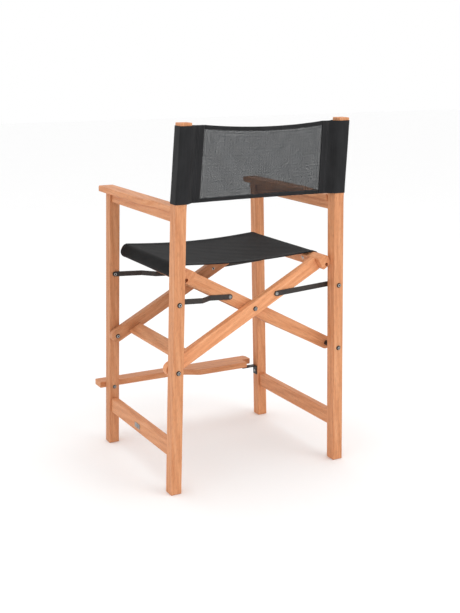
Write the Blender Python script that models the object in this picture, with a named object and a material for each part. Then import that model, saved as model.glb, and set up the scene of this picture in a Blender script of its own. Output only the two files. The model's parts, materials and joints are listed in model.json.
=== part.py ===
"""Folding director chair at counter height: hardwood frames, crossed bars and woven slings.

The chair stands on the floor at Z = 0, +Y is its back, +X is the sitter's left.
Two side frames (leg, post, arm, rails) are joined by two crossed pairs of bars.
Each pair of bars carries one seat rail, so folding the cross lifts the seat and
brings the side frames together.
"""
import math

import bmesh
import bpy
from mathutils import Vector

# ---------------------------------------------------------------- driving sizes (metres)
WIDTH = 0.575              # outside the feet
DEPTH = 0.480              # front of the front legs to back of the rear posts
HEIGHT = 1.024             # top of the rear posts
LEAN = math.radians(1.6)   # each side frame leans in towards its top

LEG_WIDTH = 0.032          # leg and post, along X
FRONT_LEG_DEPTH = 0.032
REAR_POST_DEPTH = 0.035
RAKE = math.radians(6.0)   # back posts lean back above the arms
RAKE_BELOW_ARM = 0.022     # the post begins to bend this far below the arm's top
RAKE_BLEND = 0.026         # height over which it bends
EDGE_ROUND = 0.0016        # rounding of the wooden edges

ARM_TOP = 0.805
ARM_THICKNESS = 0.018
ARM_OUTER_OVERHANG = 0.010
ARM_INNER_OVERHANG = 0.006
ARM_FRONT_OVERHANG = 0.036
ARM_STEP_FRONT = 0.165     # from the rear posts' front face to where the board begins to narrow
ARM_STEP_LENGTH = 0.060
ARM_REAR_INSET = 0.001     # behind the step, from the post's outer face
ARM_RAIL_HEIGHT = 0.025
STRETCHER_BOTTOM = 0.104
STRETCHER_HEIGHT = 0.044
RAIL_THICKNESS = 0.020     # stretcher and arm rail, along X
SHOULDER = 0.005           # step between a rail and its tenon
TENON_LENGTH = 0.018

BAR_HEIGHT = 0.038
BAR_THICKNESS = 0.022
BAR_GAP = 0.0036           # washer space between neighbouring bars and posts
LOWER_PIVOT_HEIGHT = 0.353
LINK_PIVOT_HEIGHT = 0.5425
CROSS_HEIGHT = 0.4945      # where the bars cross
SEAT_RAIL_CLEARANCE = 0.0011  # between an open chair's seat rail and its rear post
SEAT_RAIL_WIDTH = 0.032
SEAT_RAIL_ROUND = 0.015
RAIL_BOLT_RECESS = 0.0035  # the rail bolt's head below the rail's outer face
GROOVE_RADIUS = 0.005
GROOVE_SLOT = 0.0034
GROOVE_DEPTH = 0.008       # centre of the groove above the rail's underside
GROOVE_OFFSET = 0.001      # groove centre outward of the rail's centre
ROD_RADIUS = 0.0034

SLAT_START = 0.040         # from the lower pivot, along the bar
SLAT_WIDTH = 0.042
SLAT_THICKNESS = 0.014

LINK_THICKNESS = 0.0025
LINK_WIDTH = 0.015
LINK_REACH = 0.078         # from the crossing to the link's rivet, along the bar
JOGGLE_START = 0.47        # share of the link's length
JOGGLE_END = 0.66

SHANK_RADIUS = 0.003
HEAD_RADIUS = 0.0068
FOOTREST_HEAD_RADIUS = 0.00578
HEAD_HEIGHT = 0.0026
SOCKET_RADIUS = 0.0030
SOCKET_DEPTH = 0.0014
BOLT_COVER = 0.002         # wood left in front of a bolt that ends in a bar
BLIND_DEPTH = 0.020        # how far a bolt reaches into a leg or bar it screws into
NUT_RADIUS = 0.005
NUT_INSET = 0.011          # cross dowel from the bar's upper end
NUT_BELOW_FACE = 0.0005    # at the face that it shows on
NUT_COVER = 0.004          # wood left beyond its hidden end
NUT_SLOT_LENGTH = 0.007
NUT_SLOT_WIDTH = 0.0014
NUT_SLOT_DEPTH = 0.001
SPACER_RADIUS = 0.0075
RIVET_RADIUS = 0.0052
RIVET_TOP_RADIUS = 0.00442
RIVET_HEAD = 0.0014
GAP = 0.0003               # clearance between touching pieces
HOLE_CLEARANCE = 0.0004
OVERSHOOT = 0.010          # how far a cutter runs past the faces it cuts

FOOTREST_TOP = 0.193
FOOTREST_THICKNESS = 0.0185
FOOTREST_NARROW = 0.044
FOOTREST_WIDE = 0.0745
FOOTREST_LEFT_OVERHANG = 0.0125  # past the left foot
FOOTREST_RIGHT_SETBACK = 0.046  # short of the right foot; the swinging board clears that leg
FOOTREST_NOTCH = 0.031     # the notch beside the right leg, along X
FOOTREST_FLARE = (0.016, -0.036)
FOOTREST_REAR_CHAMFER = 0.004
FOOTREST_END_CHAMFER = 0.010   # of the front corner, along Y
FOOTREST_FRONT_CHAMFER = 0.006  # of the front corner, along X
FOOTREST_GAP = 0.0012      # behind the board, to the front legs
BRACKET_REACH = 0.054
BRACKET_WIDTH = 0.022
BRACKET_DROP = 0.030
BRACKET_THICKNESS = 0.0025
BRACKET_SCREW_DROP = 0.0186  # its screw below the bracket's top
BRACKET_SCREW_DEPTH = 0.014
BRACKET_HEAD_RADIUS = 0.005
BRACKET_HEAD_TOP_RADIUS = 0.0038
BRACKET_HEAD_HEIGHT = 0.0018

SLING_THICKNESS = 0.0020
SEAT_FRONT_INSET = 0.008   # seat cloth behind the front legs
SEAT_REAR_INSET = 0.040    # seat cloth in front of the rear posts
SEAT_SAG = 0.010
BACK_ABOVE_ARM = 0.007
BACK_BELOW_TOP = 0.008
BACK_FLAP = 0.045          # doubled cloth beside each post
FLAP_THICKNESS = 0.003
BADGE_WIDTH = 0.034
BADGE_HEIGHT = 0.014
BADGE_THICKNESS = 0.0012
BADGE_CENTRE = -0.007      # along the stretcher, from the chair's middle towards the back
BADGE_RISE = 0.020         # its centre above the stretcher's underside

# ---------------------------------------------------------------- derived places
HALF = WIDTH / 2
FRONT = -DEPTH / 2
BACK = DEPTH / 2
FRONT_LEG_BACK = FRONT + FRONT_LEG_DEPTH
POST_FRONT = BACK - REAR_POST_DEPTH
PIVOT_INSET = LEG_WIDTH / 2
RAIL_INSET = (LEG_WIDTH - RAIL_THICKNESS) / 2
POST_MIDDLE = (POST_FRONT + BACK) / 2
ARM_BOTTOM = ARM_TOP - ARM_THICKNESS
RAKE_START = ARM_TOP - RAKE_BELOW_ARM
BACK_BOTTOM = ARM_TOP + BACK_ABOVE_ARM
BACK_TOP = HEIGHT - BACK_BELOW_TOP
SLING_FRONT = FRONT_LEG_BACK + SEAT_FRONT_INSET
SLING_BACK = POST_FRONT - SEAT_REAR_INSET
HALF_BAR = BAR_HEIGHT / 2
PIVOT_X = HALF - PIVOT_INSET - LOWER_PIVOT_HEIGHT * math.tan(LEAN)
LINK_PIVOT_X = HALF - PIVOT_INSET - LINK_PIVOT_HEIGHT * math.tan(LEAN)
BAR_ANGLE = math.atan2(CROSS_HEIGHT - LOWER_PIVOT_HEIGHT, PIVOT_X)
CROSS_REACH = math.hypot(PIVOT_X, CROSS_HEIGHT - LOWER_PIVOT_HEIGHT)
# A rail's half width along X, tilted with its bar, and the post's lean at the rail's own height.
RAIL_HALF = (SEAT_RAIL_ROUND + (SEAT_RAIL_WIDTH / 2 - SEAT_RAIL_ROUND) * math.cos(BAR_ANGLE)
             + (HALF_BAR - SEAT_RAIL_ROUND) * math.sin(BAR_ANGLE))
POST_INNER_AT_CROSS = HALF - LEG_WIDTH - CROSS_HEIGHT * math.tan(LEAN)
SEAT_RAIL_CENTRE = ((POST_INNER_AT_CROSS - RAIL_HALF - SEAT_RAIL_CLEARANCE)
                    / (1 + math.tan(BAR_ANGLE) * math.tan(LEAN)))
SEAT_RAIL_REACH = CROSS_REACH + SEAT_RAIL_CENTRE / math.cos(BAR_ANGLE)
SEAT_RAIL_BACK = POST_MIDDLE - FLAP_THICKNESS / 2  # passes in front of the back cloth's flap
BAR_END = SEAT_RAIL_REACH - SEAT_RAIL_WIDTH / 2 - GAP
FOOTREST_PIVOT_HEIGHT = FOOTREST_TOP - FOOTREST_THICKNESS / 2
FOOTREST_PIVOT = (HALF - PIVOT_INSET - FOOTREST_PIVOT_HEIGHT * math.tan(LEAN), FOOTREST_PIVOT_HEIGHT)
BRACKET_TOP = FOOTREST_TOP - FOOTREST_THICKNESS - 2 * GAP
BRACKET_SCREW_HEIGHT = BRACKET_TOP - BRACKET_SCREW_DROP
BRACKET_MIDDLE = FRONT_LEG_BACK - FRONT_LEG_DEPTH / 2

# Layers front to back: leg, outer bar, inner bar ... inner bar, outer bar, post.
OUTER_FRONT_BAR = (FRONT_LEG_BACK + BAR_GAP, FRONT_LEG_BACK + BAR_GAP + BAR_THICKNESS)
INNER_FRONT_BAR = (OUTER_FRONT_BAR[1] + BAR_GAP, OUTER_FRONT_BAR[1] + BAR_GAP + BAR_THICKNESS)
OUTER_REAR_BAR = (POST_FRONT - BAR_GAP - BAR_THICKNESS, POST_FRONT - BAR_GAP)
INNER_REAR_BAR = (OUTER_REAR_BAR[0] - BAR_GAP - BAR_THICKNESS, OUTER_REAR_BAR[0] - BAR_GAP)

# ---------------------------------------------------------------- materials
FINISHES = {
    "hardwood": ((0.62, 0.34, 0.17, 1.0), 0.48, 0.0),
    "cloth": ((0.020, 0.021, 0.023, 1.0), 0.75, 0.0),
    "black_steel": ((0.030, 0.028, 0.026, 1.0), 0.42, 0.8),
    "bright_steel": ((0.62, 0.62, 0.60, 1.0), 0.28, 1.0),
    "rod_plastic": ((0.05, 0.05, 0.05, 1.0), 0.5, 0.0),
}


def make_material(name):
    colour, roughness, metallic = FINISHES[name]
    material = bpy.data.materials.new(name)
    material.use_nodes = True
    shader = material.node_tree.nodes["Principled BSDF"]
    shader.inputs["Base Color"].default_value = colour
    shader.inputs["Roughness"].default_value = roughness
    shader.inputs["Metallic"].default_value = metallic
    return material


# ---------------------------------------------------------------- coordinate systems
def rake_offset(z):
    """How far back the post's centre line has moved at height z."""
    rise = z - RAKE_START
    if rise <= 0:
        return 0.0
    slope = math.tan(RAKE)
    if rise < RAKE_BLEND:
        return slope * rise * rise / (2 * RAKE_BLEND)
    return slope * (rise - RAKE_BLEND / 2)


def frame_place(side):
    """Side-frame coordinates (inset from the outer face, y, z) to the world."""
    def place(inset, y, z):
        return Vector((side * (HALF - inset - z * math.tan(LEAN)), y, z))
    return place


def raked_place(side):
    """Like frame_place, with the back post's bend added."""
    flat = frame_place(side)

    def place(inset, y, z):
        return flat(inset, y + rake_offset(z), z)
    return place


def bar_place(side):
    """Bar coordinates (along from the lower pivot, across upward, y) to the world.

    side is the side of the lower pivot, and the bar climbs to the other side.
    """
    cosine, sine = math.cos(BAR_ANGLE), math.sin(BAR_ANGLE)

    def place(along, across, y):
        x = PIVOT_X - along * cosine + across * sine
        z = LOWER_PIVOT_HEIGHT + along * sine + across * cosine
        return Vector((side * x, y, z))
    return place


def bar_prism_place(side):
    """bar_place for a prism drawn as (along, across) and swept in y."""
    place = bar_place(side)
    return lambda point, y: place(point[0], point[1], y)


def world_prism_place(side=1):
    """A prism drawn as (x, z) and swept in y."""
    return lambda point, y: Vector((side * point[0], y, point[1]))


# ---------------------------------------------------------------- shape helpers
def face_outward(bm):
    """Point all faces out of the closed solid."""
    bmesh.ops.recalc_face_normals(bm, faces=bm.faces)
    if bm.calc_volume(signed=True) < 0:
        bmesh.ops.reverse_faces(bm, faces=bm.faces)


def prism(points, low, high, place):
    """A closed solid: a polygon swept from low to high, each corner put by place."""
    bm = bmesh.new()
    first = [bm.verts.new(place(point, low)) for point in points]
    last = [bm.verts.new(place(point, high)) for point in points]
    bm.faces.new(first)
    bm.faces.new(list(reversed(last)))
    for i in range(len(points)):
        j = (i + 1) % len(points)
        bm.faces.new((first[j], first[i], last[i], last[j]))
    face_outward(bm)
    return bm


def loft(rings):
    """A closed solid through rings of corners, with flat ends."""
    bm = bmesh.new()
    rows = [[bm.verts.new(corner) for corner in ring] for ring in rings]
    bm.faces.new(rows[0])
    bm.faces.new(list(reversed(rows[-1])))
    for low, high in zip(rows, rows[1:]):
        for i in range(len(low)):
            j = (i + 1) % len(low)
            bm.faces.new((low[j], low[i], high[i], high[j]))
    face_outward(bm)
    return bm


def box(low, high, place=lambda x, y, z: Vector((x, y, z))):
    """A block between two corners in the coordinates of place."""
    corners = [(low[0], low[1]), (high[0], low[1]), (high[0], high[1]), (low[0], high[1])]
    return prism(corners, low[2], high[2], lambda point, z: place(point[0], point[1], z))


def circle(radius, count, centre=(0.0, 0.0), start=0.0):
    return [(centre[0] + radius * math.cos(start + 2 * math.pi * i / count),
             centre[1] + radius * math.sin(start + 2 * math.pi * i / count)) for i in range(count)]


def arc(centre, radius, start, end, count):
    """Points on an arc, angles in degrees, both ends included."""
    angles = [math.radians(start + (end - start) * i / (count - 1)) for i in range(count)]
    return [(centre[0] + radius * math.cos(a), centre[1] + radius * math.sin(a)) for a in angles]


def rod_y(x, z, low, high, radius, count=20):
    """A cylinder along Y."""
    return prism(circle(radius, count, (x, z)), low, high, world_prism_place())


def soften(bm, radius=EDGE_ROUND, sharp=40.0):
    """Round every outside edge that is sharper than the given angle."""
    edges = [e for e in bm.edges if e.calc_face_angle_signed(0.0) > math.radians(sharp)]
    bmesh.ops.bevel(bm, geom=edges, offset=radius, segments=2, profile=0.5, affect="EDGES",
                    clamp_overlap=True)
    return bm


def add_part(name, bm, finish, smooth=30.0):
    """Put the shape in the scene, with its origin at the middle of its box."""
    points = [v.co.copy() for v in bm.verts]
    low = Vector([min(p[i] for p in points) for i in range(3)])
    high = Vector([max(p[i] for p in points) for i in range(3)])
    centre = (low + high) / 2
    for v in bm.verts:
        v.co -= centre
    face_outward(bm)
    mesh = bpy.data.meshes.new(name)
    bm.to_mesh(mesh)
    bm.free()
    mesh.materials.append(MATERIALS[finish])
    mesh.shade_smooth()
    mesh.set_sharp_from_angle(angle=math.radians(smooth))
    part = bpy.data.objects.new(name, mesh)
    part.location = centre
    bpy.context.collection.objects.link(part)
    return part


def set_origin(part, point):
    """Move a part's origin to a point on its joint's axis; the shape stays."""
    shift = Vector(point) - part.location
    for v in part.data.vertices:
        v.co -= shift
    part.location = Vector(point)


def cut(part, cutter_bm, label):
    """Cut a shape out of a part."""
    face_outward(cutter_bm)
    mesh = bpy.data.meshes.new(label)
    cutter_bm.to_mesh(mesh)
    cutter_bm.free()
    cutter = bpy.data.objects.new(label, mesh)
    cutter.hide_render = True
    cutter.display_type = "WIRE"
    bpy.context.collection.objects.link(cutter)
    modifier = part.modifiers.new(label, "BOOLEAN")
    modifier.operation = "DIFFERENCE"
    modifier.object = cutter
    modifier.solver = "EXACT"


def drill_y(part, x, z, low, high, label, radius=SHANK_RADIUS + HOLE_CLEARANCE):
    cut(part, rod_y(x, z, low, high, radius), f"{part.name}_{label}_cutter")


def side_name(side):
    return "left" if side > 0 else "right"


# ---------------------------------------------------------------- side frames
def tenoned_rail(bottom, top, side):
    """A rail between front leg and rear post, with a tenon at each end."""
    def ring(y, margin):
        low, high = RAIL_INSET + margin, RAIL_INSET + RAIL_THICKNESS - margin
        return [Vector((inset, y, z)) for inset, z in ((low, bottom + margin), (high, bottom + margin),
                                                       (high, top - margin), (low, top - margin))]
    front, rear = FRONT_LEG_BACK + GAP, POST_FRONT - GAP
    steps = [(front - TENON_LENGTH, SHOULDER), (front, SHOULDER), (front, 0.0),
             (rear, 0.0), (rear, SHOULDER), (rear + TENON_LENGTH, SHOULDER)]
    bm = soften(loft([ring(y, margin) for y, margin in steps]))
    place = frame_place(side)
    for v in bm.verts:
        v.co = place(*v.co)
    return bm


def mortise(part, bottom, top, side, at_leg):
    """The pocket in a leg or post for a rail's tenon."""
    if at_leg:
        low_y, high_y = FRONT_LEG_BACK - TENON_LENGTH - GAP, FRONT_LEG_BACK + OVERSHOOT
    else:
        low_y, high_y = POST_FRONT - OVERSHOOT, POST_FRONT + TENON_LENGTH + GAP
    low = (RAIL_INSET + SHOULDER - GAP, low_y, bottom + SHOULDER - GAP)
    high = (RAIL_INSET + RAIL_THICKNESS - SHOULDER + GAP, high_y, top - SHOULDER + GAP)
    cut(part, box(low, high, frame_place(side)), f"{part.name}_mortise_{round(bottom * 1000)}")


def build_front_leg(side):
    name = f"front_leg_{side_name(side)}"
    bm = box((0, FRONT, 0), (LEG_WIDTH, FRONT_LEG_BACK, ARM_BOTTOM - GAP), frame_place(side))
    leg = add_part(name, soften(bm), "hardwood")
    mortise(leg, STRETCHER_BOTTOM, STRETCHER_BOTTOM + STRETCHER_HEIGHT, side, True)
    mortise(leg, ARM_BOTTOM - GAP - ARM_RAIL_HEIGHT, ARM_BOTTOM - GAP, side, True)
    blind = FRONT_LEG_BACK - BLIND_DEPTH - GAP
    drill_y(leg, side * PIVOT_X, LOWER_PIVOT_HEIGHT, blind, FRONT_LEG_BACK + OVERSHOOT, "pivot")
    drill_y(leg, side * LINK_PIVOT_X, LINK_PIVOT_HEIGHT, blind, FRONT_LEG_BACK + OVERSHOOT, "link")
    if side > 0:
        drill_y(leg, *FOOTREST_PIVOT, FRONT - OVERSHOOT, FRONT_LEG_BACK + OVERSHOOT, "footrest")
    else:
        inner = HALF - LEG_WIDTH - BRACKET_SCREW_HEIGHT * math.tan(LEAN)
        pocket = prism(circle(SHANK_RADIUS, 16, (BRACKET_MIDDLE, BRACKET_SCREW_HEIGHT)),
                       -inner - BRACKET_SCREW_DEPTH - GAP, -inner + OVERSHOOT,
                       lambda point, x: Vector((x, point[0], point[1])))
        cut(leg, pocket, f"{name}_bracket_screw_cutter")
    return leg


def build_rear_post(side):
    place = raked_place(side)
    bend = [RAKE_START + RAKE_BLEND * i / 4 for i in range(5)]
    rings = []
    for z in [0.0] + bend + [HEIGHT]:
        corners = ((0, POST_FRONT), (LEG_WIDTH, POST_FRONT), (LEG_WIDTH, BACK), (0, BACK))
        rings.append([place(inset, y, z) for inset, y in corners])
    post = add_part(f"rear_post_{side_name(side)}", soften(loft(rings)), "hardwood")
    mortise(post, STRETCHER_BOTTOM, STRETCHER_BOTTOM + STRETCHER_HEIGHT, side, False)
    mortise(post, ARM_BOTTOM - GAP - ARM_RAIL_HEIGHT, ARM_BOTTOM - GAP, side, False)
    for label, x, z in (("pivot", PIVOT_X, LOWER_PIVOT_HEIGHT), ("link", LINK_PIVOT_X, LINK_PIVOT_HEIGHT)):
        drill_y(post, side * x, z, POST_FRONT - OVERSHOOT, BACK + OVERSHOOT, label)
    return post


def build_arm(side):
    """The arm board: it narrows in a slanted step towards the rear post."""
    step = POST_FRONT - GAP - ARM_STEP_FRONT
    front = FRONT - ARM_FRONT_OVERHANG
    rear = POST_FRONT - GAP
    inner = LEG_WIDTH + ARM_INNER_OVERHANG
    outline = [(-ARM_OUTER_OVERHANG, front), (inner, front), (inner, rear), (ARM_REAR_INSET, rear),
               (ARM_REAR_INSET, step + ARM_STEP_LENGTH), (-ARM_OUTER_OVERHANG, step)]
    place = frame_place(side)
    bm = prism(outline, ARM_BOTTOM, ARM_TOP, lambda point, z: place(point[0], point[1], z))
    add_part(f"arm_board_{side_name(side)}", soften(bm, 2 * EDGE_ROUND, 20.0), "hardwood")


def build_frame(side):
    build_front_leg(side)
    build_rear_post(side)
    build_arm(side)
    low = ARM_BOTTOM - GAP - ARM_RAIL_HEIGHT
    add_part(f"arm_rail_{side_name(side)}", tenoned_rail(low, ARM_BOTTOM - GAP, side), "hardwood")
    top = STRETCHER_BOTTOM + STRETCHER_HEIGHT
    add_part(f"bottom_stretcher_{side_name(side)}", tenoned_rail(STRETCHER_BOTTOM, top, side), "hardwood")


# ---------------------------------------------------------------- crossed bars and seat rails
def bar_outline():
    """Round around the lower pivot, square at the upper end."""
    lower = arc((0.0, 0.0), HALF_BAR, 90, 270, 13)
    return lower + [(BAR_END, -HALF_BAR), (BAR_END, HALF_BAR)]


def build_bar(name, side, layer, head_face):
    """One crossed bar. layer is its span in y, head_face the face its cross dowel shows on."""
    low, high = layer
    bar = add_part(name, soften(prism(bar_outline(), low, high, bar_prism_place(side))), "hardwood")
    drill_y(bar, side * PIVOT_X, LOWER_PIVOT_HEIGHT, low - OVERSHOOT, high + OVERSHOOT, "pivot")
    drill_y(bar, 0.0, CROSS_HEIGHT, low - OVERSHOOT, high + OVERSHOOT, "cross")
    place = bar_place(side)
    nut = place(BAR_END - NUT_INSET, 0, 0)
    start, end = nut_span(layer, head_face)
    reach = OVERSHOOT * head_face
    cut_low, cut_high = min(start - GAP, start - GAP + reach), max(end + GAP, end + GAP + reach)
    drill_y(bar, nut.x, nut.z, cut_low, cut_high, "nut", NUT_RADIUS + HOLE_CLEARANCE)
    middle = (low + high) / 2
    tunnel = prism(circle(SHANK_RADIUS + HOLE_CLEARANCE, 16), BAR_END - NUT_INSET, BAR_END + OVERSHOOT,
                   lambda point, along: place(along, point[0], middle + point[1]))
    cut(bar, tunnel, f"{name}_rail_bolt_cutter")
    return bar


def nut_span(layer, head_face):
    """The cross dowel's span in y: flush with one face, stopping short of the other."""
    low, high = layer
    if head_face > 0:
        return low + NUT_COVER, high - NUT_BELOW_FACE
    return low + NUT_BELOW_FACE, high - NUT_COVER


def build_nut(name, side, layer, head_face):
    """A cross dowel with the threaded hole for the rail bolt."""
    spot = bar_place(side)(BAR_END - NUT_INSET, 0, 0)
    low, high = nut_span(layer, head_face)
    nut = add_part(name, rod_y(spot.x, spot.z, low, high, NUT_RADIUS, 20), "bright_steel")
    face = high if head_face > 0 else low
    slot = box((spot.x - NUT_SLOT_LENGTH / 2, face - NUT_SLOT_DEPTH, spot.z - NUT_SLOT_WIDTH / 2),
               (spot.x + NUT_SLOT_LENGTH / 2, face + NUT_SLOT_DEPTH, spot.z + NUT_SLOT_WIDTH / 2))
    cut(nut, slot, f"{name}_slot_cutter")


def rail_outline():
    """Section of a seat rail in bar coordinates: flat inside, round outside, keyhole groove below."""
    low, high = SEAT_RAIL_REACH - SEAT_RAIL_WIDTH / 2, SEAT_RAIL_REACH + SEAT_RAIL_WIDTH / 2
    r = SEAT_RAIL_ROUND
    points = arc((high - r, HALF_BAR - r), r, 90, 0, 7) + arc((high - r, r - HALF_BAR), r, 0, -90, 7)
    groove = (SEAT_RAIL_REACH + GROOVE_OFFSET, GROOVE_DEPTH - HALF_BAR)
    opening = math.degrees(math.asin(GROOVE_SLOT / 2 / GROOVE_RADIUS))
    points.append((groove[0] + GROOVE_SLOT / 2, -HALF_BAR))
    points += arc(groove, GROOVE_RADIUS, -90 + opening, 270 - opening, 13)
    points.append((groove[0] - GROOVE_SLOT / 2, -HALF_BAR))
    small = 2 * EDGE_ROUND
    points += arc((low + small, small - HALF_BAR), small, -90, -180, 4)
    points += arc((low + small, HALF_BAR - small), small, 180, 90, 4)
    return remove_doubles(points)


def remove_doubles(points, tolerance=1e-6):
    kept = []
    for point in points:
        if not kept or math.dist(point, kept[-1]) > tolerance:
            kept.append(point)
    if math.dist(kept[0], kept[-1]) <= tolerance:
        kept.pop()
    return kept


def rail_bolt_ends():
    """Where the rail bolt starts in its cross dowel and where its head lies in the rail."""
    start = BAR_END - NUT_INSET + NUT_RADIUS + 2 * GAP
    head = SEAT_RAIL_REACH + SEAT_RAIL_WIDTH / 2 - RAIL_BOLT_RECESS
    return start, head


def build_seat_rail(side, layers):
    """side is the side of the lower pivots, so the rail itself is on the other side."""
    name = f"seat_rail_{side_name(-side)}"
    rail = add_part(name, prism(rail_outline(), FRONT_LEG_BACK + BAR_GAP, SEAT_RAIL_BACK,
                                bar_prism_place(side)), "hardwood")
    place = bar_place(side)
    head = rail_bolt_ends()[1]
    for i, layer in enumerate(layers):
        middle = sum(layer) / 2

        def along_place(point, along):
            return place(along, point[0], middle + point[1])
        hole = circle(SHANK_RADIUS + HOLE_CLEARANCE, 16)
        shank = prism(hole, BAR_END - OVERSHOOT, head + GAP, along_place)
        cut(rail, shank, f"{name}_shank_cutter_{i}")
        seat = prism(circle(HEAD_RADIUS + HOLE_CLEARANCE, 20), head, head + OVERSHOOT, along_place)
        cut(rail, seat, f"{name}_head_cutter_{i}")
    return rail


def build_rail_bolt(name, side, layer):
    """A bolt along the bar: its head sunk in the rail, its end in the cross dowel."""
    start, head = rail_bolt_ends()
    middle = sum(layer) / 2
    place = bar_place(side)
    profile = [(SHANK_RADIUS, start), (SHANK_RADIUS, head + GAP), (HEAD_RADIUS, head + GAP),
               (HEAD_RADIUS, head + HEAD_HEIGHT)]
    rings = []
    for radius, along in profile:
        rings.append([place(along, point[0], middle + point[1]) for point in circle(radius, 16)])
    add_part(name, loft(rings), "bright_steel")


def build_slat(side):
    """The flat rail that ties the two bars of one pair near their lower ends."""
    low = (SLAT_START, -HALF_BAR)
    high = (SLAT_START + SLAT_WIDTH, -HALF_BAR + SLAT_THICKNESS)
    if side > 0:
        ends = (OUTER_FRONT_BAR[1] + GAP, OUTER_REAR_BAR[0] - GAP)
    else:
        ends = (INNER_FRONT_BAR[1] + GAP, INNER_REAR_BAR[0] - GAP)
    outline = [low, (high[0], low[1]), high, (low[0], high[1])]
    bm = soften(prism(outline, ends[0], ends[1], bar_prism_place(side)), 2 * EDGE_ROUND)
    add_part(f"cross_slat_{side_name(side)}", bm, "hardwood")


# ---------------------------------------------------------------- bolts, spacers and links
def bolt_y(name, x, z, head_at, outward, tip, head_radius=HEAD_RADIUS):
    """A button-head bolt along Y. outward is +1 when its head faces the back."""
    seat = head_at + outward * GAP
    top = seat + outward * HEAD_HEIGHT
    profile = [(SHANK_RADIUS, tip), (SHANK_RADIUS, seat), (head_radius, seat),
               (head_radius, seat + outward * HEAD_HEIGHT * 0.45), (head_radius * 0.86, top)]
    place = world_prism_place()
    rings = [[place(point, y) for point in circle(radius, 20, (x, z))] for radius, y in profile]
    bolt = add_part(name, loft(rings), "bright_steel")
    socket = prism(circle(SOCKET_RADIUS, 6, (x, z)), *sorted((top - outward * SOCKET_DEPTH, top + outward * OVERSHOOT)),
                   world_prism_place())
    cut(bolt, socket, f"{name}_socket_cutter")
    return bolt


def build_pivots(side):
    """Lower pivot bolts: left ones hold the outer bars, right ones the inner bars."""
    where = side_name(side)
    x, z = side * PIVOT_X, LOWER_PIVOT_HEIGHT
    front_bar = OUTER_FRONT_BAR if side > 0 else INNER_FRONT_BAR
    rear_bar = OUTER_REAR_BAR if side > 0 else INNER_REAR_BAR
    bolt_y(f"front_pivot_bolt_{where}", x, z, front_bar[1], 1, FRONT_LEG_BACK - BLIND_DEPTH)
    bolt_y(f"rear_pivot_bolt_{where}", x, z, BACK, 1, rear_bar[0] + BOLT_COVER)
    if side < 0:
        build_spacer("front_spacer", x, z, FRONT_LEG_BACK + GAP, front_bar[0] - GAP)
        build_spacer("rear_spacer", x, z, rear_bar[1] + GAP, POST_FRONT - GAP)


def build_spacer(name, x, z, low, high):
    spacer = add_part(name, rod_y(x, z, low, high, SPACER_RADIUS), "black_steel")
    drill_y(spacer, x, z, low - OVERSHOOT, high + OVERSHOOT, "bore")


def link_path(joggled, near, far, length):
    """The link's middle line seen from above: (share of length, y)."""
    if not joggled:
        return [(0.0, near), (length, near)]
    start, end = JOGGLE_START * length, JOGGLE_END * length
    return [(0.0, near), (start, near), (end, far), (length, far)]


def build_link(name, side, front, joggled):
    """A flat steel strap from a leg or post to the bar that crosses towards its side.

    A straight strap lies against the outer bar; a joggled one reaches the inner bar.
    """
    outward = -1 if front else 1
    half = LINK_THICKNESS / 2
    frame_face = FRONT_LEG_BACK if front else POST_FRONT
    near = frame_face - outward * (GAP + half)
    inner_face = INNER_FRONT_BAR[0] if front else INNER_REAR_BAR[1]
    far = inner_face + outward * (GAP + half)
    start = Vector((side * LINK_PIVOT_X, 0, LINK_PIVOT_HEIGHT))
    cosine, sine = math.cos(BAR_ANGLE), math.sin(BAR_ANGLE)
    end = Vector((side * LINK_REACH * cosine, 0, CROSS_HEIGHT + LINK_REACH * sine))
    run = end - start
    length = run.length
    run.normalize()
    up = Vector((-run.z, 0, run.x)) * (1 if run.x > 0 else -1)
    path = link_path(joggled, near, far, length)

    def row(along, y, spread):
        return [start + run * along + up * s * spread + Vector((0, y + t * half, 0))
                for s, t in ((-1, -1), (1, -1), (1, 1), (-1, 1))]
    radius = LINK_WIDTH / 2
    rings = []
    for angle in (-75, -50, -25):
        a = math.radians(angle)
        rings.append(row(radius * math.sin(a), near, radius * math.cos(a)))
    rings += [row(along, y, radius) for along, y in path]
    for angle in (25, 50, 75):
        a = math.radians(angle)
        rings.append(row(length + radius * math.sin(a), path[-1][1], radius * math.cos(a)))
    link = add_part(name, loft(rings), "black_steel")
    for label, spot, y in (("frame", start, near), ("bar", end, path[-1][1])):
        drill_y(link, spot.x, spot.z, y - OVERSHOOT, y + OVERSHOOT, label)
    set_origin(link, (start.x, near, start.z))
    return end, path[-1][1]


def build_rivet(name, spot, y, outward):
    """A flat rivet at the link's bar end: its head shows, its tail stops at the link's back."""
    half = LINK_THICKNESS / 2
    face = y + outward * (half + GAP)
    place = world_prism_place()
    profile = [(SHANK_RADIUS, y - outward * (half - GAP)), (SHANK_RADIUS, face), (RIVET_RADIUS, face),
               (RIVET_TOP_RADIUS, face + outward * RIVET_HEAD)]
    rings = [[place(point, at) for point in circle(radius, 16, (spot.x, spot.z))] for radius, at in profile]
    rivet = add_part(name, loft(rings), "bright_steel")
    set_origin(rivet, (spot.x, y, spot.z))


def build_links(side):
    """Both links of one side frame with their bolts and rivets."""
    where = side_name(side)
    x, z = side * LINK_PIVOT_X, LINK_PIVOT_HEIGHT
    joggled = side > 0
    for front in (True, False):
        end_name = "front" if front else "rear"
        outward = -1 if front else 1
        spot, y = build_link(f"{end_name}_link_{where}", side, front, joggled)
        build_rivet(f"{end_name}_link_rivet_{where}", spot, y, outward)
    link_inner_front = FRONT_LEG_BACK + GAP + LINK_THICKNESS
    bolt_y(f"front_link_bolt_{where}", x, z, link_inner_front, 1, FRONT_LEG_BACK - BLIND_DEPTH)
    bolt_y(f"rear_link_bolt_{where}", x, z, BACK, 1, POST_FRONT - LINK_THICKNESS)


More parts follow.
